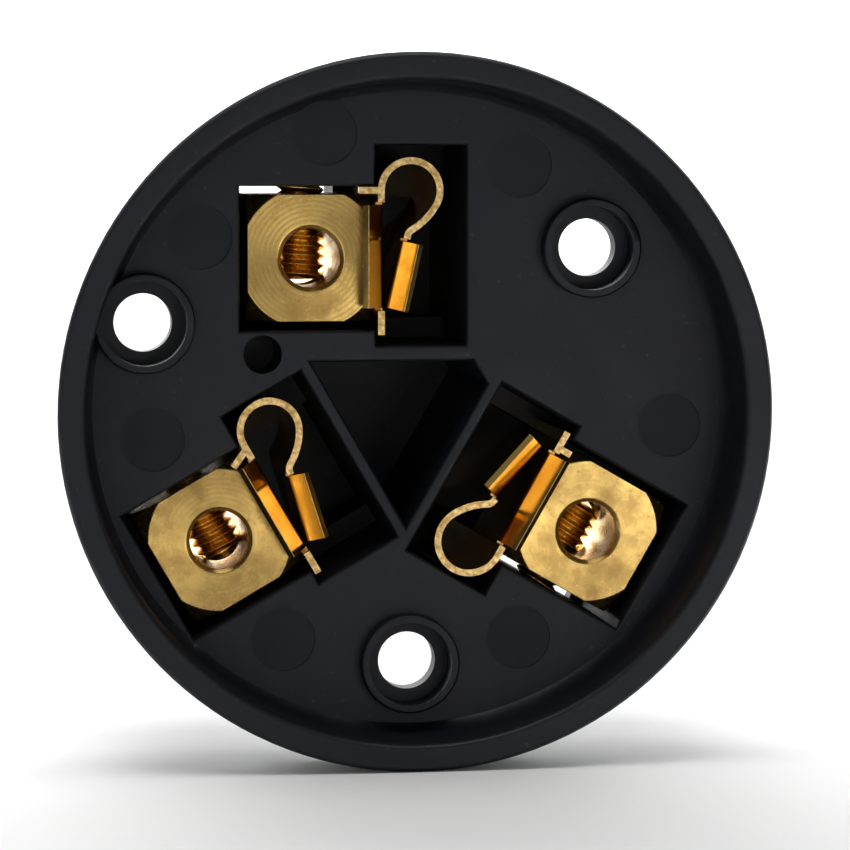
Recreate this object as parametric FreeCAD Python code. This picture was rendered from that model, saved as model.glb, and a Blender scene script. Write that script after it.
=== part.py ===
"""Round moulded insert of a three-pin power socket, with three spring contacts.

Frame: X to the right and Z up as the plug sees it, Y runs from the plug side to the wiring side.
The origin is on the rim's axis, in the plane of the flat back of the contact boxes.
"""
import FreeCAD, Part
import math
import os

from FreeCAD import Placement, Rotation, Vector

# Flange cup, in millimetres and degrees
rim_diameter = 44.0
rim_wall = 1.72
cup_depth = 4.8
plate_thickness = 2.5
outer_draft_angle = 4.0
cup_draft_angle = 1.5
rim_rounding = 0.35
corner_rounding = 0.5
rounding_flats = 1

# Rim for which the places in the plan are given, so that they move in step with it
drawn_rim_diameter = 44.0

# Plug pin layout, three flat pins about a centre below the rim's axis
pin_centre_drop = 1.39
earth_pin_reach = 10.31
side_pin_reach = 7.92
side_pin_turn = 120.0

# Top of each straight leaf, seen from the pin that the contact grips
earth_leaf_top = (-1.82, 4.4)
neutral_leaf_top = (-1.42, 4.05)
active_leaf_top = (-1.03, 3.85)

# Turn of each pocket, anticlockwise as the plug sees it
earth_turn = 0.0
neutral_turn = 30.0
active_turn = 150.0

# Contact pockets
contact_depth = 15.6
block_bay_depth = 12.4
pocket_wall = 1.2
back_wall = 1.6
spring_room = 5.37
tab_room = 0.65
block_clearance = 0.5
outer_clearance = 0.55
pocket_edge_break = 0.2
box_rounding = 0.8

# Core recess between the three pockets
core_top_wall = 1.0
core_side_wall = 0.8
core_corner_cut = 1.7

# Fixing holes with raised rings, as (across, up) from the rim's axis
fixing_holes = {"left": (-16.46, 5.45), "right": (11.35, 9.97), "bottom": (-0.07, -15.85)}
fixing_hole_diameter = 3.6
counterbore_diameter = 5.2
ring_wall = 0.5
ring_height = 1.0
counterbore_depth = 1.0

# Locating hole and ejector marks in the cup's floor
locating_hole = (-9.16, 3.47)
locating_hole_diameter = 2.4
locating_hole_depth = 5.0
locating_boss_wall = 1.0
ejector_marks = [(-5.26, 17.08), (6.93, 15.11), (-12.98, 10.72), (-15.99, -1.7),
                 (16.45, -1.18), (-7.93, -14.25), (6.89, -14.4)]
ejector_mark_diameter = 4.0
ejector_mark_depth = 0.1

# Terminal block, a square bar with its front end turned
block_side = 7.9
block_length = 11.5
turned_diameter = 8.9
turned_angle = 60.0
wire_hole_diameter = 3.66
wire_hole_chamfer = 0.25

# Clamp screw across the wire hole
screw_diameter = 3.1
screw_length = 7.0
screw_depth = 6.2
screw_clearance = 0.05
screw_tip_gap = 0.35
cross_hole_dimple = 0.5
screw_slot_width = 0.7
screw_slot_depth = 0.9
screw_edge_break = 0.25
screw_access_clearance = 0.35

# Contact strip, folded from one band
strip_thickness = 0.45
strip_height = 10.4
strip_lead = 1.35
strip_side_gap = 0.05
tab_overrun = 0.8
loop_turn = 210.0
shoulder_radius = 4.2
shoulder_turn = 30.0
neck_radius = 0.5
neck_turn = 47.5
spring_leaf_length = 4.68
strip_ledge = 0.6

# Spring loop of each strip, as (rise past the block's top, radius of its middle line, room to the pocket)
earth_loop = (0.25, 1.83, 0.7)
neutral_loop = (0.5, 1.83, 0.1)
active_loop = (0.25, 2.0, 0.18)

# How far each strip stands off from its block
earth_strip_shift = 0.0
neutral_strip_shift = 0.0
active_strip_shift = 0.3

# Flared lips that lead a pin in between the leaves
lip_angle = 42.0
lip_length = 1.25
lip_bend_radius = 0.25
lip_fold_gap = 0.05
lip_relief = 0.15
fixed_lip_start = 0.65
fixed_lip_end = 0.85
spring_lip_start = 0.4

# Locating lug on the straight leaf, as (rise from the block's top, turn, length) on each strip
lug_height = 0.4
earth_lug = (0.25, 180.0, 1.4)
neutral_lug = (0.25, 205.0, 1.4)
active_lug = (-7.55, 180.0, 0.9)

# Wire entry window in the back of each block bay
window_tab_ledge = 2.0
window_outer_ledge = 0.8

# Overrun of a cutting tool past the face that it opens
overrun = 1.0

# Distance from a screw ring at which the plate round the active pocket is parted off
plate_part_gap = 0.4

# Levels along the depth
back_face = 0.0
contact_floor = back_face - back_wall
cup_floor = contact_floor - contact_depth
rim_plane = cup_floor - cup_depth
plate_back = cup_floor + plate_thickness
plate_middle = cup_floor + plate_thickness / 2
block_ledge = cup_floor + block_bay_depth
block_box_back = block_ledge + back_wall
block_front = block_ledge - block_length
strip_front = block_front - strip_lead
strip_back = strip_front + strip_height
lip_fold = block_front - lip_fold_gap
screw_level = block_front + screw_depth
ring_crest = cup_floor - ring_height

# Radii about the rim's axis and about a fixing hole
floor_radius = rim_diameter / 2 - rim_wall - cup_depth * math.tan(math.radians(cup_draft_angle)) - corner_rounding
ring_inner_radius = counterbore_diameter / 2
ring_outer_radius = ring_inner_radius + ring_wall
ring_edge_break = ring_wall / 3

# Share by which places in the plan move with the rim
plan = rim_diameter / drawn_rim_diameter

# Places across a pocket, from the mid plane of the straight leaf at the block's top
block_right = -strip_thickness / 2 - strip_side_gap
block_left = block_right - block_side
block_middle = block_right - block_side / 2
block_height = -block_side / 2
tab_length = block_side + tab_overrun
pocket_step = block_right
pocket_left = block_left - outer_clearance
pocket_right = spring_room
pocket_top = block_clearance
pocket_bottom = -block_side - block_clearance
contact_bottom = -tab_length - tab_room
well_top = -strip_ledge / 2
well_bottom = -tab_length + strip_ledge

terminals = {
    "earth": (earth_turn, earth_leaf_top, 0.0, earth_pin_reach, earth_lug, earth_loop, earth_strip_shift),
    "neutral": (neutral_turn, neutral_leaf_top, side_pin_turn, side_pin_reach, neutral_lug, neutral_loop,
                neutral_strip_shift),
    "active": (active_turn, active_leaf_top, -side_pin_turn, side_pin_reach, active_lug, active_loop,
               active_strip_shift),
}


def turned(x, z, degrees):
    """A point of the plan turned anticlockwise about the origin, as the plug sees it."""
    angle = math.radians(degrees)
    return (x * math.cos(angle) - z * math.sin(angle), x * math.sin(angle) + z * math.cos(angle))


def in_plan(place):
    """A place in the plan, moved in step with the rim."""
    return (place[0] * plan, place[1] * plan)


def leaf_top(name):
    """Where the top of the straight leaf lies, worked out from the pin that the contact grips."""
    turn, offset, pin_turn, pin_reach = terminals[name][:4]
    pin = turned(0.0, pin_reach * plan, pin_turn)
    shift = turned(offset[0], offset[1], turn)
    return (pin[0] + shift[0], pin[1] - pin_centre_drop * plan + shift[1])


def contact_top(name):
    """How far the strip's bay reaches past the block's top, with room for the spring loop."""
    rise, radius, room = terminals[name][5]
    return rise + radius + strip_thickness / 2 + room


def placed(shape, name):
    """A shape of the pocket's own plan, moved to its place in the moulding."""
    x, z = leaf_top(name)
    turn = Rotation(Vector(0, 1, 0), -terminals[name][0])
    moved = shape.copy()
    moved.Placement = Placement(Vector(x, 0, z), turn).multiply(moved.Placement)
    return moved


def bar(x_low, x_high, z_low, z_high, y_front, y_back):
    """A box given by its sides in the plan and its two depths."""
    corner = Vector(x_low, y_front, z_low)
    return Part.makeBox(x_high - x_low, y_back - y_front, z_high - z_low, corner)


def disc(x, z, radius, y_front, y_back):
    """A round bar along the depth."""
    return Part.makeCylinder(radius, y_back - y_front, Vector(x, y_front, z), Vector(0, 1, 0))


def prism(outline, y_front, y_back):
    """A closed outline of the plan, carried from one depth to another."""
    points = [Vector(x, y_front, z) for x, z in outline]
    face = Part.Face(Part.makePolygon(points + points[:1]))
    return face.extrude(Vector(0, y_back - y_front, 0))


def spun(profile, x=0.0, z=0.0):
    """A profile of (radius, depth) points spun about an axis along the depth."""
    points = [Vector(radius, y, 0) for radius, y in profile]
    face = Part.Face(Part.makePolygon(points + points[:1]))
    solid = face.revolve(Vector(0, 0, 0), Vector(0, 1, 0), 360)
    solid.translate(Vector(x, 0, z))
    return solid


def along(start, end, distance):
    """The point at a distance from start towards end."""
    share = distance / math.dist(start, end)
    return (start[0] + (end[0] - start[0]) * share, start[1] + (end[1] - start[1]) * share)


def eased(before, corner, after, reach):
    """A profile's rounded corner in short flats, from one side to the other, reach from the corner."""
    start = along(corner, before, reach)
    end = along(corner, after, reach)
    points = []
    for step in range(rounding_flats + 1):
        t = step / rounding_flats
        points.append(tuple(a * (1 - t) ** 2 + 2 * b * t * (1 - t) + c * t ** 2
                            for a, b, c in zip(start, corner, end)))
    return points


def flange_cup():
    """The round plate with its drafted rim."""
    rim_outer = (rim_diameter / 2, rim_plane)
    rim_inner = (rim_diameter / 2 - rim_wall, rim_plane)
    back_edge = (rim_outer[0] - (plate_back - rim_plane) * math.tan(math.radians(outer_draft_angle)), plate_back)
    floor_edge = (floor_radius + corner_rounding, cup_floor)
    back_middle = (0, plate_back)
    floor_middle = (0, cup_floor)
    return spun([back_middle, back_edge]
                + eased(back_edge, rim_outer, rim_inner, rim_rounding)
                + eased(rim_outer, rim_inner, floor_edge, rim_rounding)
                + eased(rim_inner, floor_edge, floor_middle, corner_rounding)
                + [floor_middle])


def wire_window():
    """The opening behind the block, which leaves ledges for the block to stand on."""
    return bar(pocket_left + window_outer_ledge, pocket_step - pocket_wall,
               pocket_bottom + window_tab_ledge, pocket_top, block_ledge - overrun, block_box_back + overrun)


def screw_access():
    """The round hole in the pocket's wall that the clamp screw passes through."""
    radius = screw_diameter / 2 + screw_access_clearance
    start = Vector(block_middle, screw_level, pocket_top - overrun)
    return Part.makeCylinder(radius, pocket_wall + 2 * overrun, start, Vector(0, 0, 1))


def side_line(name, point, normal, wall):
    """A line of the plan at a wall's distance from a pocket's side, as (unit normal, distance)."""
    turn = terminals[name][0]
    x, z = leaf_top(name)
    across = turned(normal[0], normal[1], turn)
    place = turned(point[0], point[1], turn)
    return (across, (place[0] + x) * across[0] + (place[1] + z) * across[1] + wall)


def meet(first, second):
    """The point where two lines of the plan cross."""
    (a, b), reach_a = first
    (c, d), reach_b = second
    spread = a * d - b * c
    return ((reach_a * d - b * reach_b) / spread, (a * reach_b - reach_a * c) / spread)


def core_outline():
    """The three-sided outline that keeps even walls to the pockets round it."""
    top = side_line("earth", (0, contact_bottom), (0, -1), core_top_wall)
    left = side_line("neutral", (pocket_right, 0), (1, 0), core_side_wall)
    right = side_line("active", (pocket_right, 0), (1, 0), core_side_wall)
    return [meet(top, left), meet(left, right), meet(right, top)]


def grown(outline, amount):
    """An anticlockwise outline with every side moved outward by an amount."""
    sides = []
    for start, end in zip(outline, outline[1:] + outline[:1]):
        length = math.dist(start, end)
        normal = ((end[1] - start[1]) / length, (start[0] - end[0]) / length)
        sides.append((normal, start[0] * normal[0] + start[1] * normal[1] + amount))
    return [meet(before, after) for before, after in zip(sides[-1:] + sides[:-1], sides)]


def mouth_slope(outline):
    """The small slope that breaks the edge round a hollow's mouth in the cup's floor."""
    rings = []
    for outset, level in ((0, pocket_edge_break), (2 * pocket_edge_break, -pocket_edge_break)):
        points = [Vector(x, cup_floor + level, z) for x, z in grown(outline, outset)]
        rings.append(Part.makePolygon(points + points[:1]))
    return Part.makeLoft(rings, True, True)


def core_recess():
    """The core recess with its upper right corner cut off."""
    upper_left, lower, upper_right = core_outline()
    outline = [upper_left, lower, along(upper_right, lower, core_corner_cut),
               along(upper_right, upper_left, core_corner_cut)]
    return prism(outline, cup_floor - overrun, contact_floor).fuse(mouth_slope(outline))


def pocket_hollow(name):
    """The stepped pocket: a bay for the block, and a bay for the strip with a well for the pin."""
    front = cup_floor - overrun
    top = contact_top(name)
    strip_bay = bar(pocket_step, pocket_right, contact_bottom, top, front, strip_back)
    pin_well = bar(pocket_step, pocket_right, well_bottom, well_top, front, contact_floor)
    block_bay = bar(pocket_left, pocket_step, pocket_bottom, pocket_top, front, block_ledge)
    outline = [(pocket_left, pocket_bottom), (pocket_step, pocket_bottom), (pocket_step, contact_bottom),
               (pocket_right, contact_bottom), (pocket_right, top), (pocket_step, top),
               (pocket_step, pocket_top), (pocket_left, pocket_top)]
    return strip_bay.fuse(pin_well).fuse(block_bay).fuse(mouth_slope(outline)).removeSplitter()


def rounded_box(box, x_limit):
    """A box with its upright edges rounded, as far as a limit across the pocket."""
    upright = [edge for edge in box.Edges
               if abs(edge.tangentAt(edge.FirstParameter).y) > 0.9 and edge.CenterOfMass.x < x_limit]
    return box.makeFillet(box_rounding, upright)


def strip_box(name):
    """The box behind the plate round a strip and its pin well."""
    return bar(pocket_step - pocket_wall, pocket_right + pocket_wall,
               contact_bottom - pocket_wall, contact_top(name) + pocket_wall, plate_middle, back_face)


def block_box():
    """The shallower box behind the plate round a terminal block."""
    return bar(pocket_left - pocket_wall, pocket_step, pocket_bottom - pocket_wall,
               pocket_top + pocket_wall, plate_middle, block_box_back)


def core_box(y_front):
    """The box round the core recess, from a depth to the back."""
    return prism(grown(core_outline(), pocket_wall), y_front, back_face)


def contact_boxes():
    """The boxes behind the plate that hold the contacts, with the core's back between them."""
    boxes = rounded_box(core_box(plate_middle), rim_diameter)
    for name in terminals:
        boxes = boxes.fuse(placed(rounded_box(strip_box(name), rim_diameter), name))
        boxes = boxes.fuse(placed(rounded_box(block_box(), block_middle), name))
    return boxes.removeSplitter()


def fixing_ring(x, z):
    """The raised ring round a screw hole, with the outer edge of its crest broken."""
    return spun([(ring_inner_radius, plate_middle),
                 (ring_inner_radius, ring_crest),
                 (ring_outer_radius - ring_edge_break, ring_crest),
                 (ring_outer_radius, ring_crest + ring_edge_break),
                 (ring_outer_radius, plate_middle)], x, z)


def moulding():
    """The whole moulding in one piece."""
    body = flange_cup().fuse(contact_boxes())
    boss_x, boss_z = in_plan(locating_hole)
    boss = locating_hole_diameter / 2 + locating_boss_wall
    boss_back = cup_floor + locating_hole_depth + locating_boss_wall
    body = body.fuse(disc(boss_x, boss_z, boss, plate_middle, boss_back)).removeSplitter()
    for name in terminals:
        body = body.cut(placed(pocket_hollow(name), name))
    body = body.cut(core_recess())
    for name in terminals:
        body = body.cut(placed(wire_window(), name))
        body = body.cut(placed(screw_access(), name))
    body = body.cut(disc(boss_x, boss_z, locating_hole_diameter / 2, cup_floor - overrun,
                         cup_floor + locating_hole_depth))
    for x, z in map(in_plan, fixing_holes.values()):
        body = body.fuse(fixing_ring(x, z))
        body = body.cut(disc(x, z, ring_inner_radius, ring_crest - overrun, cup_floor + counterbore_depth))
        body = body.cut(disc(x, z, fixing_hole_diameter / 2, cup_floor, plate_back + overrun))
    for x, z in map(in_plan, ejector_marks):
        body = body.cut(disc(x, z, ejector_mark_diameter / 2, cup_floor - overrun, cup_floor + ejector_mark_depth))
    return body.removeSplitter()


def parted_moulding():
    """The moulding parted into simple solids that touch: rim, plate, screw rings, housings and the core's walls."""
    whole = moulding()
    front = disc(0, 0, rim_diameter, rim_plane - overrun, plate_back)
    rim_zone = disc(0, 0, rim_diameter, rim_plane - overrun, cup_floor)
    flange = whole.common(front)
    rest = whole.cut(front)
    solids = {}
    for side, place in fixing_holes.items():
        x, z = in_plan(place)
        ring_zone = disc(x, z, ring_outer_radius, ring_crest, plate_back)
        solids[f"{side}_screw_ring"] = flange.common(ring_zone)
        flange = flange.cut(ring_zone)
    solids["rim_ring"] = flange.common(rim_zone)
    plate = flange.cut(rim_zone)
    solids["core_web"] = plate.common(core_box(cup_floor))
    plate = plate.cut(core_box(cup_floor))
    part_reach = ring_outer_radius + plate_part_gap
    active_zone = bar(in_plan(fixing_holes["bottom"])[0] + part_reach, rim_diameter, -rim_diameter,
                      in_plan(fixing_holes["right"])[1] - part_reach, cup_floor, plate_back)
    solids["active_plate"] = plate.common(active_zone)
    plate = plate.cut(active_zone)
    for name in terminals:
        zone = placed(strip_box(name).fuse(block_box()), name)
        solids[f"{name}_housing"] = rest.common(zone)
        rest = rest.cut(zone)
    core_pieces = sorted(rest.common(core_box(cup_floor)).Solids, key=lambda solid: solid.Volume)
    solids["core_housing"] = core_pieces.pop()
    for piece in core_pieces:
        solids["core_web"] = solids["core_web"].fuse(piece).removeSplitter()
    solids["flange_plate"] = plate.fuse(rest.cut(core_box(cup_floor))).removeSplitter()
    return solids


def terminal_block():
    """The square bar with a turned end, a wire hole through it and a cross hole for the screw."""
    half = block_side / 2
    corner = half * math.sqrt(2) + overrun
    turned_radius = turned_diameter / 2
    slope_length = (corner - turned_radius) * math.tan(math.radians(turned_angle))
    square = bar(block_left, block_right, -block_side, 0, block_front, block_ledge)
    lathe = spun([(0, block_front), (turned_radius, block_front), (corner, block_front + slope_length),
                  (corner, block_ledge), (0, block_ledge)], block_middle, block_height)
    hole = wire_hole_diameter / 2
    mouth = hole + wire_hole_chamfer
    drill = spun([(0, block_front), (mouth, block_front), (hole, block_front + wire_hole_chamfer),
                  (hole, block_ledge), (0, block_ledge)], block_middle, block_height)
    cross_end = block_height - hole - cross_hole_dimple
    cross = Part.makeCylinder(screw_diameter / 2 + screw_clearance, overrun - cross_end,
                              Vector(block_middle, screw_level, cross_end), Vector(0, 0, 1))
    return square.common(lathe).cut(drill).cut(cross)


def clamp_screw():
    """A slotted headless screw whose tip lies just short of the wire hole's far wall."""
    radius = screw_diameter / 2
    tip = block_height - wire_hole_diameter / 2 + screw_tip_gap
    end = tip + screw_length
    shank = Part.makeCylinder(radius, screw_length, Vector(block_middle, screw_level, tip), Vector(0, 0, 1))
    tip_rim = [edge for edge in shank.Edges if edge.CenterOfMass.z < tip + screw_edge_break]
    shank = shank.makeChamfer(screw_edge_break, tip_rim)
    slot = bar(block_middle - radius, block_middle + radius, end - screw_slot_depth, end + overrun,
               screw_level - screw_slot_width / 2, screw_level + screw_slot_width / 2)
    return shank.cut(slot)


def strip_edge(loop, side):
    """One edge of the folded band in the plan, half a thickness to a side of its middle line."""
    loop_rise, loop_radius, _ = loop
    offset = side * strip_thickness / 2
    x, z, heading = 0.0, -tab_length, 90.0
    steps = [
        ("run", tab_length + loop_rise, 0.0),
        ("bend", loop_radius, -loop_turn),
        ("bend", shoulder_radius, -shoulder_turn),
        ("bend", neck_radius, neck_turn),
        ("run", spring_leaf_length, 0.0),
    ]

    def edge_point(px, pz, angle):
        left = math.radians(angle + 90)
        return Vector(px + offset * math.cos(left), strip_front, pz + offset * math.sin(left))

    def bend_point(radius, turn):
        inward = math.radians(heading + math.copysign(90, turn))
        cx, cz = x + radius * math.cos(inward), z + radius * math.sin(inward)
        px, pz = turned(x - cx, z - cz, turn)
        return (cx + px, cz + pz)

    edges = []
    for kind, size, turn in steps:
        start = edge_point(x, z, heading)
        if kind == "run":
            x += size * math.cos(math.radians(heading))
            z += size * math.sin(math.radians(heading))
            edges.append(Part.LineSegment(start, edge_point(x, z, heading)).toShape())
        else:
            middle = edge_point(*bend_point(size, turn / 2), heading + turn / 2)
            x, z = bend_point(size, turn)
            heading += turn
            edges.append(Part.Arc(start, middle, edge_point(x, z, heading)).toShape())
    return edges, (x, z), heading


def flared_lip(start, heading, length):
    """A lip folded out to the left of a leaf: a bend and a flat, carried along the leaf."""
    half = strip_thickness / 2
    angle = math.radians(lip_angle)
    inner = lip_bend_radius
    outer = lip_bend_radius + strip_thickness
    centre = half + lip_bend_radius
    side = math.radians(heading + 90)

    def at(across, rise):
        return Vector(start[0] + across * math.cos(side), lip_fold + rise, start[1] + across * math.sin(side))

    def on_bend(radius, turn):
        return (centre - radius * math.cos(turn), -radius * math.sin(turn))

    def at_tip(radius):
        across, rise = on_bend(radius, angle)
        return at(across + lip_length * math.sin(angle), rise - lip_length * math.cos(angle))

    outline = Part.Wire([
        Part.Arc(at(-half, 0), at(*on_bend(outer, angle / 2)), at(*on_bend(outer, angle))).toShape(),
        Part.LineSegment(at(*on_bend(outer, angle)), at_tip(outer)).toShape(),
        Part.LineSegment(at_tip(outer), at_tip(inner)).toShape(),
        Part.LineSegment(at_tip(inner), at(*on_bend(inner, angle))).toShape(),
        Part.Arc(at(*on_bend(inner, angle)), at(*on_bend(inner, angle / 2)), at(half, 0)).toShape(),
        Part.LineSegment(at(half, 0), at(-half, 0)).toShape(),
    ])
    run = Vector(length * math.cos(math.radians(heading)), 0, length * math.sin(math.radians(heading)))
    return Part.Face(outline).extrude(run)


def lip_clearing(start, heading, length):
    """The slot that frees a lip from the band beside it, down to the fold."""
    slot = bar(-strip_thickness, strip_thickness, -lip_relief, length + lip_relief,
               strip_front - overrun, lip_fold)
    slot.Placement = Placement(Vector(start[0], 0, start[1]), Rotation(Vector(0, 1, 0), 90 - heading))
    return slot


def contact_strip(name):
    """The folded band with its flared lips and its locating lug."""
    lug_place, loop, shift = terminals[name][4:]
    left, end, heading = strip_edge(loop, 1)
    right, _, _ = strip_edge(loop, -1)
    first_cap = Part.LineSegment(left[0].firstVertex(True).Point, right[0].firstVertex(True).Point).toShape()
    last_cap = Part.LineSegment(left[-1].lastVertex(True).Point, right[-1].lastVertex(True).Point).toShape()
    outline = Part.Wire(Part.__sortEdges__(left + right + [first_cap, last_cap]))
    band = Part.Face(outline).extrude(Vector(0, strip_height, 0))

    fixed_length = block_side - fixed_lip_start - fixed_lip_end
    fixed_start = (0.0, -fixed_lip_start - fixed_length)
    spring_length = spring_leaf_length - spring_lip_start
    back = math.radians(heading + 180)
    spring_start = (end[0] + spring_length * math.cos(back), end[1] + spring_length * math.sin(back))
    band = band.cut(lip_clearing(fixed_start, 90, fixed_length))
    band = band.cut(lip_clearing(spring_start, heading, spring_length))
    band = band.fuse(flared_lip(fixed_start, 90, fixed_length))
    band = band.fuse(flared_lip(spring_start, heading, spring_length))

    rise, turn, length = lug_place
    lug = bar(0, length, -strip_thickness / 2, strip_thickness / 2, strip_front, strip_front + lug_height)
    lug.Placement = Placement(Vector(0, 0, rise), Rotation(Vector(0, 1, 0), -turn))
    strip = band.fuse(lug).removeSplitter()
    strip.translate(Vector(shift, 0, 0))
    return strip


os.makedirs("parts", exist_ok=True)
for node, shape in parted_moulding().items():
    shape.exportStep(f"parts/{node}.step")
for terminal in terminals:
    placed(terminal_block(), terminal).exportStep(f"parts/{terminal}_terminal_block.step")
    placed(contact_strip(terminal), terminal).exportStep(f"parts/{terminal}_contact_strip.step")
    placed(clamp_screw(), terminal).exportStep(f"parts/{terminal}_clamp_screw.step")
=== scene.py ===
"""Round contact insert of a power socket: black moulding, brass contacts, blocks and clamp screws."""

import math

import bmesh
import bpy
import numpy as np
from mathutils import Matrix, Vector


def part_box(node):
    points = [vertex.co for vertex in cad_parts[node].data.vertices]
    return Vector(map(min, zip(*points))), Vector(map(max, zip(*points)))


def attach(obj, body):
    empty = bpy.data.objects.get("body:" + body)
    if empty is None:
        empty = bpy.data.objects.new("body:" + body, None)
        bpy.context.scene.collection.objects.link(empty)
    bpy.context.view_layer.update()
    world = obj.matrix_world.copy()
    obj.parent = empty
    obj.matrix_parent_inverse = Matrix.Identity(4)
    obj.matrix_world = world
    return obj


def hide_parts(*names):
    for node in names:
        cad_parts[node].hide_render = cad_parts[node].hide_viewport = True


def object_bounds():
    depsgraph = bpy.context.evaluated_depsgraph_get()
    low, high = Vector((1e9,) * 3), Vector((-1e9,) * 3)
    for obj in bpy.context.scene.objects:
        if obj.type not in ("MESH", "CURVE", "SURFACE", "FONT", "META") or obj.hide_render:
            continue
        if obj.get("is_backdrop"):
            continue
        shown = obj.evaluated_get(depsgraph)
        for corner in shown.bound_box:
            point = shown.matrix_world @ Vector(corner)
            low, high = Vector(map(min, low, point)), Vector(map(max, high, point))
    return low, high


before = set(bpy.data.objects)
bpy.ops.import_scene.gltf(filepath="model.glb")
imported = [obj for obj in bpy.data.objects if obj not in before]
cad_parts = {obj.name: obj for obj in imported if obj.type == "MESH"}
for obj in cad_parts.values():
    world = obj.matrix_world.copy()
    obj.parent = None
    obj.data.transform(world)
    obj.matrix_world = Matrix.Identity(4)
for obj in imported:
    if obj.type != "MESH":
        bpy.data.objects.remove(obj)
cad_low, cad_high = (list(corner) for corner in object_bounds())

MM = 0.001

# Turn of each contact's pocket, anticlockwise as the plug sees it
TURNS = {"earth": 0.0, "neutral": 30.0, "active": 150.0}

# Solids that together are the one black moulding
MOULDING = ("rim_ring", "flange_plate", "active_plate", "left_screw_ring", "right_screw_ring",
            "bottom_screw_ring", "earth_housing", "neutral_housing", "active_housing", "core_web",
            "core_housing")

# Depth of the ejector marks' floors in the cup, and how far a face may lie from it, in millimetres
MARK_LEVEL = -17.1
MARK_REACH = 0.03

# Wire hole's wall, from its axis, and the clamp screw, in millimetres
BORE_RADIUS = 1.86
SCREW_RADIUS = 1.55
SCREW_LENGTH = 7.0
THREAD_PITCH = 0.6
THREAD_DEPTH = 0.36
END_CHAMFER = 0.28
SLOT_WIDTH = 0.7
SLOT_DEPTH = 0.9

# Thread's wave before it is cut to 0 and 1: its steepness, and how much the crest is flattened
THREAD_FLANK = 2.3
THREAD_CREST = 0.08

# Points of the screw's surface around and along
SCREW_AROUND = 72
SCREW_ALONG = 288

# Copied meshes: weld distance and edge radii in millimetres, angles in degrees
WELD_DISTANCE = 0.0005
BLOCK_EDGE = 0.06
STRIP_EDGE = 0.05
BEVEL_STEPS = 2
BEVEL_ANGLE = 40
FLAT_ANGLE = 0.2
MOULDING_SMOOTH = 50
METAL_SMOOTH = 28
THREAD_SMOOTH = 40

# The wave pattern repeats after this much of its scaled distance
WAVE_PERIOD = math.tau / 20

# Paper sweep, in millimetres from the origin, with heights from the floor
SWEEP_FRONT = -900.0
SWEEP_WALL = 700.0
SWEEP_BEND = 300.0
SWEEP_TOP = 1100.0
SWEEP_HALF_WIDTH = 1200.0
SWEEP_STEPS = 25

ROOM_STRENGTH = 0.17

# Photograph's camera, in millimetres and degrees, and its aim from the middle of the rim's front
RIM_FRONT = -22.0
CAMERA_DISTANCE = 215.0
CAMERA_AZIMUTH = -8.34
CAMERA_ELEVATION = 4.281
AIM_RIGHT = 0.246
AIM_DOWN = 0.62
SENSOR_WIDTH = 36.0
LENS = 149.88


def linear(hex_colour):
    """An sRGB hex colour as linear red, green, blue and alpha."""
    parts = [int(hex_colour[i:i + 2], 16) / 255 for i in (1, 3, 5)]
    return [p / 12.92 if p <= 0.04045 else ((p + 0.055) / 1.055) ** 2.4 for p in parts] + [1.0]


def add_node(tree, kind, inputs=None, **settings):
    """Adds a node, sets its properties, and fills its inputs with values or links."""
    made = tree.nodes.new(kind)
    for name, value in settings.items():
        setattr(made, name, value)
    for key, value in (inputs or {}).items():
        if isinstance(value, bpy.types.NodeSocket):
            tree.links.new(value, made.inputs[key])
        else:
            made.inputs[key].default_value = value
    return made


def new_material(name):
    """An empty node material with its shader and output, and the object's own coordinates."""
    material = bpy.data.materials.new(name)
    material.use_nodes = True
    tree = material.node_tree
    tree.nodes.clear()
    shader = add_node(tree, "ShaderNodeBsdfPrincipled")
    add_node(tree, "ShaderNodeOutputMaterial", {"Surface": shader.outputs[0]})
    place = add_node(tree, "ShaderNodeTexCoord").outputs["Object"]
    return material, tree, shader, place


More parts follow.
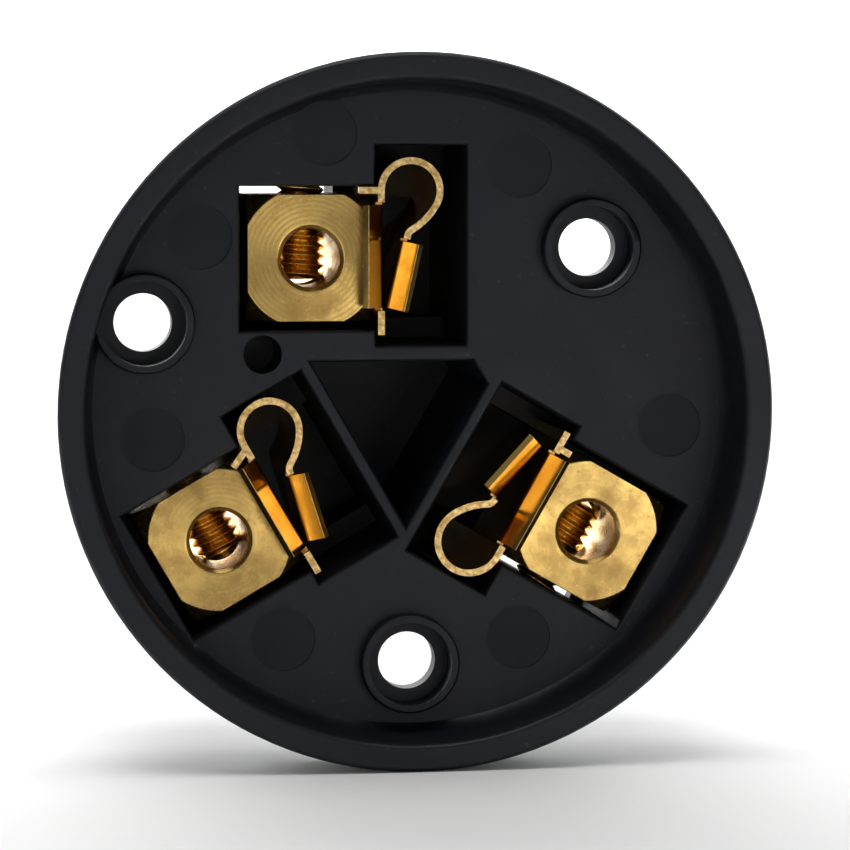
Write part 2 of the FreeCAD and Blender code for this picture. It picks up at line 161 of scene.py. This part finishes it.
def moulded_phenolic():
    """Black thermoset moulding: satin skin with a fine grain, faint flow marks and a little dust.

    The ejector pins left flatter, darker and duller discs, which are picked out by their level.
    """
    material, tree, shader, place = new_material("moulded_black_phenolic")
    grain_size = 0.16 * MM
    flow_size = 7 * MM
    dust_size = 0.45 * MM
    grain_depth = 0.012 * MM
    mark_dulling = 0.08
    shader.inputs["IOR"].default_value = 1.5
    shader.inputs["Specular IOR Level"].default_value = 0.26
    level = add_node(tree, "ShaderNodeSeparateXYZ", {"Vector": place})
    mark = add_node(tree, "ShaderNodeMath",
                    {0: level.outputs["Y"], 1: MARK_LEVEL * MM, 2: MARK_REACH * MM}, operation="COMPARE")
    grain = add_node(tree, "ShaderNodeTexNoise", {"Vector": place, "Scale": 1 / grain_size, "Detail": 3.0})
    flow = add_node(tree, "ShaderNodeTexNoise",
                    {"Vector": place, "Scale": 1 / flow_size, "Detail": 4.0, "Distortion": 1.2})
    dust = add_node(tree, "ShaderNodeTexNoise", {"Vector": place, "Scale": 1 / dust_size, "Detail": 1.0})
    tone = add_node(tree, "ShaderNodeMix",
                    {"Factor": flow.outputs[0], 6: linear("#0b0d12"), 7: linear("#15181e")},
                    data_type="RGBA")
    speck = add_node(tree, "ShaderNodeMapRange",
                     {"Value": dust.outputs[0], "From Min": 0.70, "From Max": 0.80,
                      "To Min": 0.0, "To Max": 0.35})
    dusty = add_node(tree, "ShaderNodeMix",
                     {"Factor": speck.outputs[0], 6: tone.outputs[2], 7: linear("#464a4c")},
                     data_type="RGBA")
    colour = add_node(tree, "ShaderNodeMix",
                      {"Factor": mark.outputs[0], 6: dusty.outputs[2], 7: linear("#0a1012")},
                      data_type="RGBA")
    tree.links.new(colour.outputs[2], shader.inputs["Base Color"])
    satin = add_node(tree, "ShaderNodeMapRange",
                     {"Value": flow.outputs[0], "From Min": 0.3, "From Max": 0.7,
                      "To Min": 0.42, "To Max": 0.52})
    dull = add_node(tree, "ShaderNodeMath", {0: mark.outputs[0], 1: mark_dulling, 2: satin.outputs[0]},
                    operation="MULTIPLY_ADD")
    tree.links.new(dull.outputs[0], shader.inputs["Roughness"])
    bump = add_node(tree, "ShaderNodeBump",
                    {"Height": grain.outputs[0], "Strength": 0.25, "Distance": grain_depth})
    tree.links.new(bump.outputs[0], shader.inputs["Normal"])
    return material


def brass(name, base, dark, rough, centre, ring_mm, ring_bump, turned=0.0, sheared=0.0, bore_mm=0.0):
    """Bare brass: rings about a hole's axis on a turned face, which run on as drawn lines along a bar.

    Where turned is above 0, the rings scatter light along the radius, so a bright fan crosses the face.
    Where sheared is above 0, faces turned to the plug side get the torn, paler grain of a sheared edge.
    Within the bore's radius the metal is a much paler gold: partly the clean metal of a drilled wall,
    partly a painted highlight that stands in for the wall's bright reflection.
    """
    material, tree, shader, place = new_material(name)
    tarnish_size = 2.2 * MM
    pit_size = 0.14 * MM
    grit_size = 0.3 * MM
    mark_depth = 0.01 * MM
    pit_share = 0.7
    haze_spread = 0.10
    sheared_dulling = 0.28
    shader.inputs["Metallic"].default_value = 1.0
    shader.inputs["Anisotropic"].default_value = turned
    about = add_node(tree, "ShaderNodeMapping", {"Vector": place, "Location": (-centre[0], 0, -centre[1])})
    radial = add_node(tree, "ShaderNodeVectorMath", {0: about.outputs[0], 1: (1, 0, 1)},
                      operation="MULTIPLY")
    outward = add_node(tree, "ShaderNodeVectorMath", {0: radial.outputs[0]}, operation="NORMALIZE")
    tree.links.new(outward.outputs[0], shader.inputs["Tangent"])
    tool = add_node(tree, "ShaderNodeTexWave",
                    {"Vector": about.outputs[0], "Scale": WAVE_PERIOD / (ring_mm * MM),
                     "Distortion": 0.6, "Detail": 2.0, "Detail Scale": 1.5},
                    wave_type="RINGS", rings_direction="Y")
    tarnish = add_node(tree, "ShaderNodeTexNoise",
                       {"Vector": place, "Scale": 1 / tarnish_size, "Detail": 6.0, "Roughness": 0.65})
    pits = add_node(tree, "ShaderNodeTexNoise", {"Vector": place, "Scale": 1 / pit_size, "Detail": 2.0})
    patch = add_node(tree, "ShaderNodeMapRange",
                     {"Value": tarnish.outputs[0], "From Min": 0.38, "From Max": 0.68,
                      "To Min": 0.0, "To Max": 1.0})
    bare = add_node(tree, "ShaderNodeMix",
                    {"Factor": patch.outputs[0], 6: linear(base), 7: linear(dark)}, data_type="RGBA")
    normal = add_node(tree, "ShaderNodeTexCoord").outputs["Normal"]
    facing = add_node(tree, "ShaderNodeSeparateXYZ", {"Vector": normal})
    edge = add_node(tree, "ShaderNodeMapRange",
                    {"Value": facing.outputs["Y"], "From Min": -0.80, "From Max": -0.92,
                     "To Min": 0.0, "To Max": sheared})
    grit = add_node(tree, "ShaderNodeTexNoise", {"Vector": place, "Scale": 1 / grit_size, "Detail": 3.0})
    torn_patch = add_node(tree, "ShaderNodeMapRange",
                          {"Value": grit.outputs[0], "From Min": 0.36, "From Max": 0.66})
    torn = add_node(tree, "ShaderNodeMix",
                    {"Factor": torn_patch.outputs[0], 6: linear("#8f7040"), 7: linear("#e2c68e")},
                    data_type="RGBA")
    colour = add_node(tree, "ShaderNodeMix",
                      {"Factor": edge.outputs[0], 6: bare.outputs[2], 7: torn.outputs[2]},
                      data_type="RGBA")
    # Painted highlight: inside the bore the base colour turns near-white gold, partly clean drilled metal
    # and partly standing in for the wall's bright reflection
    reach = add_node(tree, "ShaderNodeVectorMath", {0: radial.outputs[0]}, operation="LENGTH")
    bored = add_node(tree, "ShaderNodeMath", {0: reach.outputs["Value"], 1: bore_mm * MM},
                     operation="LESS_THAN")
    bore_and_highlight_colour = add_node(tree, "ShaderNodeMix",
                    {"Factor": bored.outputs[0], 6: colour.outputs[2], 7: linear("#ffdc88")},
                    data_type="RGBA")
    tree.links.new(bore_and_highlight_colour.outputs[2], shader.inputs["Base Color"])
    haze = add_node(tree, "ShaderNodeMapRange",
                    {"Value": tarnish.outputs[0], "From Min": 0.35, "From Max": 0.7,
                     "To Min": rough, "To Max": rough + haze_spread})
    roughness = add_node(tree, "ShaderNodeMath",
                         {0: edge.outputs[0], 1: sheared_dulling, 2: haze.outputs[0]},
                         operation="MULTIPLY_ADD")
    tree.links.new(roughness.outputs[0], shader.inputs["Roughness"])
    height = add_node(tree, "ShaderNodeMath", {0: pits.outputs[0], 1: pit_share, 2: tool.outputs["Fac"]},
                      operation="MULTIPLY_ADD")
    bump = add_node(tree, "ShaderNodeBump",
                    {"Height": height.outputs[0], "Strength": ring_bump, "Distance": mark_depth})
    tree.links.new(bump.outputs[0], shader.inputs["Normal"])
    return material


def refined_copy(node_name, piece_name, material, smooth_to, edge_mm=0.0):
    """A solid's own mesh, welded, with its flat faces joined, smooth up to an angle and its edges rounded.

    Without a radius the edges stay as the solid has them, and large faces keep their own normals.
    """
    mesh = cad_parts[node_name].data.copy()
    mesh.name = piece_name
    work = bmesh.new()
    work.from_mesh(mesh)
    bmesh.ops.remove_doubles(work, verts=work.verts, dist=WELD_DISTANCE * MM)
    bmesh.ops.dissolve_limit(work, angle_limit=math.radians(FLAT_ANGLE), verts=work.verts,
                             edges=work.edges)
    work.normal_update()
    for edge in work.edges:
        edge.smooth = edge.calc_face_angle(0.0) < math.radians(smooth_to)
    for face in work.faces:
        face.smooth = True
    work.to_mesh(mesh)
    work.free()
    # Normals kept from the solid no longer fit the joined faces
    if "custom_normal" in mesh.attributes:
        mesh.attributes.remove(mesh.attributes["custom_normal"])
    mesh.materials.clear()
    mesh.materials.append(material)
    piece = bpy.data.objects.new(piece_name, mesh)
    bpy.context.scene.collection.objects.link(piece)
    if edge_mm:
        bevel = piece.modifiers.new("edge", "BEVEL")
        bevel.width = edge_mm * MM
        bevel.segments = BEVEL_STEPS
        bevel.limit_method = "ANGLE"
        bevel.angle_limit = math.radians(BEVEL_ANGLE)
        bevel.harden_normals = True
    else:
        flat = piece.modifiers.new("flat_faces", "WEIGHTED_NORMAL")
        flat.keep_sharp = True
    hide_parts(node_name)
    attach(piece, "insert")


def threaded_shank():
    """A screw's surface about the Z axis, with its tip at half its length below the middle.

    The radius at height h and angle a is the crest's less the thread's depth times a triangle wave of
    h / pitch - a / turn, which makes a helix. Near both ends the radius falls along a cone.
    """
    angle = np.linspace(0, math.tau, SCREW_AROUND, endpoint=False)
    height = np.linspace(-SCREW_LENGTH / 2, SCREW_LENGTH / 2, SCREW_ALONG)
    a, h = np.meshgrid(angle, height)
    phase = (h / THREAD_PITCH - a / math.tau) % 1.0
    wave = np.clip(np.abs(phase - 0.5) * THREAD_FLANK - THREAD_CREST, 0, 1)
    radius = SCREW_RADIUS - THREAD_DEPTH * wave
    cone = SCREW_RADIUS - END_CHAMFER + SCREW_LENGTH / 2 - np.abs(h)
    radius = np.minimum(radius, cone)
    grid = np.stack([radius * np.cos(a), radius * np.sin(a), h], axis=-1).reshape(-1, 3)
    points = np.vstack([grid, [[0, 0, -SCREW_LENGTH / 2], [0, 0, SCREW_LENGTH / 2]]])
    row, column = np.meshgrid(np.arange(SCREW_ALONG - 1), np.arange(SCREW_AROUND), indexing="ij")
    lower = row * SCREW_AROUND
    upper = lower + SCREW_AROUND
    after = (column + 1) % SCREW_AROUND
    quads = np.stack([lower + column, lower + after, upper + after, upper + column], axis=-1).reshape(-1, 4)
    ring = np.arange(SCREW_AROUND)
    following = (ring + 1) % SCREW_AROUND
    top = (SCREW_ALONG - 1) * SCREW_AROUND
    tip_fan = np.stack([following, ring, np.full(SCREW_AROUND, len(grid))], axis=-1)
    end_fan = np.stack([top + ring, top + following, np.full(SCREW_AROUND, len(grid) + 1)], axis=-1)
    return points, quads.tolist() + tip_fan.tolist() + end_fan.tolist()


def box_mesh(name, low, high):
    """A closed box between two corners, as a cutter."""
    low, high = np.array(low), np.array(high)
    corner = np.array([[i, j, k] for k in (0, 1) for j in (0, 1) for i in (0, 1)])
    faces = [(0, 2, 3, 1), (4, 5, 7, 6), (0, 1, 5, 4), (2, 6, 7, 3), (0, 4, 6, 2), (1, 3, 7, 5)]
    mesh = bpy.data.meshes.new(name)
    mesh.from_pydata((low + corner * (high - low)).tolist(), [], faces)
    return mesh


def clamp_screw(terminal, material):
    """The threaded screw with its driver slot, in the place of the terminal's plain screw."""
    low, high = (np.array(corner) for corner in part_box(f"{terminal}_clamp_screw"))
    middle = (low + high) / 2
    points, faces = threaded_shank()
    mesh = bpy.data.meshes.new(f"{terminal}_threaded_screw")
    mesh.from_pydata(points.tolist(), [], faces)
    piece = bpy.data.objects.new(f"{terminal}_threaded_screw", mesh)
    slot_low = (-2 * SCREW_RADIUS, -SLOT_WIDTH / 2, SCREW_LENGTH / 2 - SLOT_DEPTH)
    slot_high = (2 * SCREW_RADIUS, SLOT_WIDTH / 2, SCREW_LENGTH)
    cutter = bpy.data.objects.new("slot_cutter", box_mesh("slot_cutter", slot_low, slot_high))
    for made in (piece, cutter):
        bpy.context.scene.collection.objects.link(made)
    cut = piece.modifiers.new("slot", "BOOLEAN")
    cut.object = cutter
    cut.operation = "DIFFERENCE"
    cut.solver = "EXACT"
    finished = bpy.data.meshes.new_from_object(piece.evaluated_get(bpy.context.evaluated_depsgraph_get()))
    piece.modifiers.clear()
    bpy.data.objects.remove(cutter)
    place = np.empty(len(finished.vertices) * 3)
    finished.vertices.foreach_get("co", place)
    x, y, z = place.reshape(-1, 3).T
    turn = math.radians(TURNS[terminal])
    c, s = math.cos(turn), math.sin(turn)
    placed = np.stack([x * c - z * s, -y, x * s + z * c], axis=-1) * MM + middle
    finished.vertices.foreach_set("co", placed.ravel())
    finished.update()
    finished.shade_smooth()
    finished.set_sharp_from_angle(angle=math.radians(THREAD_SMOOTH))
    finished.materials.clear()
    finished.materials.append(material)
    piece.data = finished
    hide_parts(f"{terminal}_clamp_screw")
    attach(piece, f"{terminal}_screw")


def dress_object():
    """Every solid gets its finished piece and its material."""
    black = moulded_phenolic()
    for node in MOULDING:
        refined_copy(node, f"moulded_{node}", black, MOULDING_SMOOTH)
    for terminal in TURNS:
        low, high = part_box(f"{terminal}_terminal_block")
        centre = ((low[0] + high[0]) / 2, (low[2] + high[2]) / 2)
        # Dull yellow bar with a turned end that throws a fan of light
        bar = brass(f"{terminal}_drawn_brass_bar", "#c2a25e", "#9c7c46", rough=0.22, centre=centre,
                    ring_mm=0.30, ring_bump=0.16, turned=0.75, bore_mm=BORE_RADIUS)
        refined_copy(f"{terminal}_terminal_block", f"{terminal}_turned_block", bar,
                     METAL_SMOOTH, BLOCK_EDGE)
        # Bright golden sheet with mirror-like leaves and grey, torn edges
        sheet = brass(f"{terminal}_rolled_brass_sheet", "#fcd27c", "#f2be5c", rough=0.11, centre=centre,
                      ring_mm=0.6, ring_bump=0.04, sheared=0.85)
        refined_copy(f"{terminal}_contact_strip", f"{terminal}_spring_strip", sheet,
                     METAL_SMOOTH, STRIP_EDGE)
        # Warm machined metal whose thread glints in the wire hole
        thread = brass(f"{terminal}_machined_brass", "#d9b061", "#bd914a", rough=0.22, centre=centre,
                       ring_mm=0.3, ring_bump=0.05)
        clamp_screw(terminal, thread)


def plain_paper():
    """Matt white paper with a faint cloudy tone that hardly shows."""
    material, tree, shader, place = new_material("white_paper")
    cloud_size = 40 * MM
    tooth = add_node(tree, "ShaderNodeTexNoise", {"Vector": place, "Scale": 1 / cloud_size, "Detail": 2.0})
    cloud = add_node(tree, "ShaderNodeMapRange", {"Value": tooth.outputs[0], "To Min": 0.92, "To Max": 1.0})
    tone = add_node(tree, "ShaderNodeMix", {"Factor": 1.0, 6: linear("#f2f2f2"), 7: cloud.outputs[0]},
                    data_type="RGBA", blend_type="MULTIPLY")
    tree.links.new(tone.outputs[2], shader.inputs["Base Color"])
    shader.inputs["Roughness"].default_value = 0.9
    return material


def sweep_floor():
    """A pale floor under the rim that bends up into a wall far behind the object.

    Its section is a flat run, a quarter circle and an upright run, carried sideways.
    """
    floor_z = cad_low[2] / MM
    bend = np.linspace(0, math.pi / 2, SWEEP_STEPS)
    curve_y = SWEEP_WALL - SWEEP_BEND + SWEEP_BEND * np.sin(bend)
    curve_z = SWEEP_BEND - SWEEP_BEND * np.cos(bend)
    section_y = np.concatenate([[SWEEP_FRONT], curve_y, [SWEEP_WALL]])
    section_z = np.concatenate([[0.0], curve_z, [SWEEP_TOP]]) + floor_z
    across = np.array([-SWEEP_HALF_WIDTH, SWEEP_HALF_WIDTH])
    y, x = np.meshgrid(section_y, across, indexing="ij")
    z, _ = np.meshgrid(section_z, across, indexing="ij")
    points = np.stack([x, y, z], axis=-1).reshape(-1, 3) * MM
    rows = np.arange(len(section_y) - 1)
    faces = np.stack([rows * 2, rows * 2 + 1, rows * 2 + 3, rows * 2 + 2], axis=-1)
    mesh = bpy.data.meshes.new("paper_sweep")
    mesh.from_pydata(points.tolist(), [], faces.tolist())
    mesh.shade_smooth()
    mesh.materials.append(plain_paper())
    sweep = bpy.data.objects.new("paper_sweep", mesh)
    bpy.context.scene.collection.objects.link(sweep)
    sweep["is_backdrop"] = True


def soft_light(name, place, aim, width, height, power):
    """A rectangular soft light at a place, turned towards an aim: millimetres, and watts of power."""
    lamp = bpy.data.lights.new(name, "AREA")
    lamp.shape = "RECTANGLE"
    lamp.size = width * MM
    lamp.size_y = height * MM
    lamp.energy = power
    light = bpy.data.objects.new(name, lamp)
    light.location = Vector(place) * MM
    light.rotation_euler = (Vector(aim) - Vector(place)).to_track_quat("-Z", "Y").to_euler()
    bpy.context.scene.collection.objects.link(light)


def light_room():
    """A pale room with a light above, one on the wall behind, and weak ones in front for the brass.

    The floor hides the lower half of the light at the left.
    """
    world = bpy.data.worlds.new("white_room")
    world.use_nodes = True
    background = world.node_tree.nodes["Background"]
    background.inputs["Color"].default_value = (1, 1, 1, 1)
    background.inputs["Strength"].default_value = ROOM_STRENGTH
    bpy.context.scene.world = world
    soft_light("top", place=(-40, -90, 600), aim=(0, -15, 0), width=420, height=420, power=2.4)
    soft_light("wall_wash", place=(0, 420, 500), aim=(0, 700, 500), width=1400, height=300, power=21.0)
    soft_light("low_right", place=(43, -140, -14), aim=(5, -16, -8), width=66, height=14, power=0.012)
    soft_light("left_front", place=(-232, -597, -32), aim=(0, -15, 0), width=220, height=300, power=0.35)
    soft_light("high_front", place=(75, -600, 140), aim=(0, -15, 8), width=340, height=50, power=0.095)
    bpy.context.scene.view_settings.view_transform = "Standard"


def place_camera():
    """The photograph's view: in front of the rim, a little to the left of its axis and above it."""
    azimuth = math.radians(CAMERA_AZIMUTH)
    elevation = math.radians(CAMERA_ELEVATION)
    back = Vector((math.sin(azimuth) * math.cos(elevation), -math.cos(azimuth) * math.cos(elevation),
                   math.sin(elevation)))
    rim_middle = Vector((0, RIM_FRONT, 0))
    spot = rim_middle + back * CAMERA_DISTANCE
    right = (-back).cross(Vector((0, 0, 1))).normalized()
    up = right.cross(-back)
    aim = rim_middle + right * AIM_RIGHT - up * AIM_DOWN
    camera = bpy.data.objects.new("camera", bpy.data.cameras.new("camera"))
    camera.data.sensor_width = SENSOR_WIDTH
    camera.data.lens = LENS
    camera.data.clip_start = 0.01
    camera.data.clip_end = 10.0
    camera.location = spot * MM
    camera.rotation_euler = (aim - spot).to_track_quat("-Z", "Y").to_euler()
    bpy.context.scene.collection.objects.link(camera)
    bpy.context.scene.camera = camera


dress_object()
sweep_floor()
light_room()
place_camera()
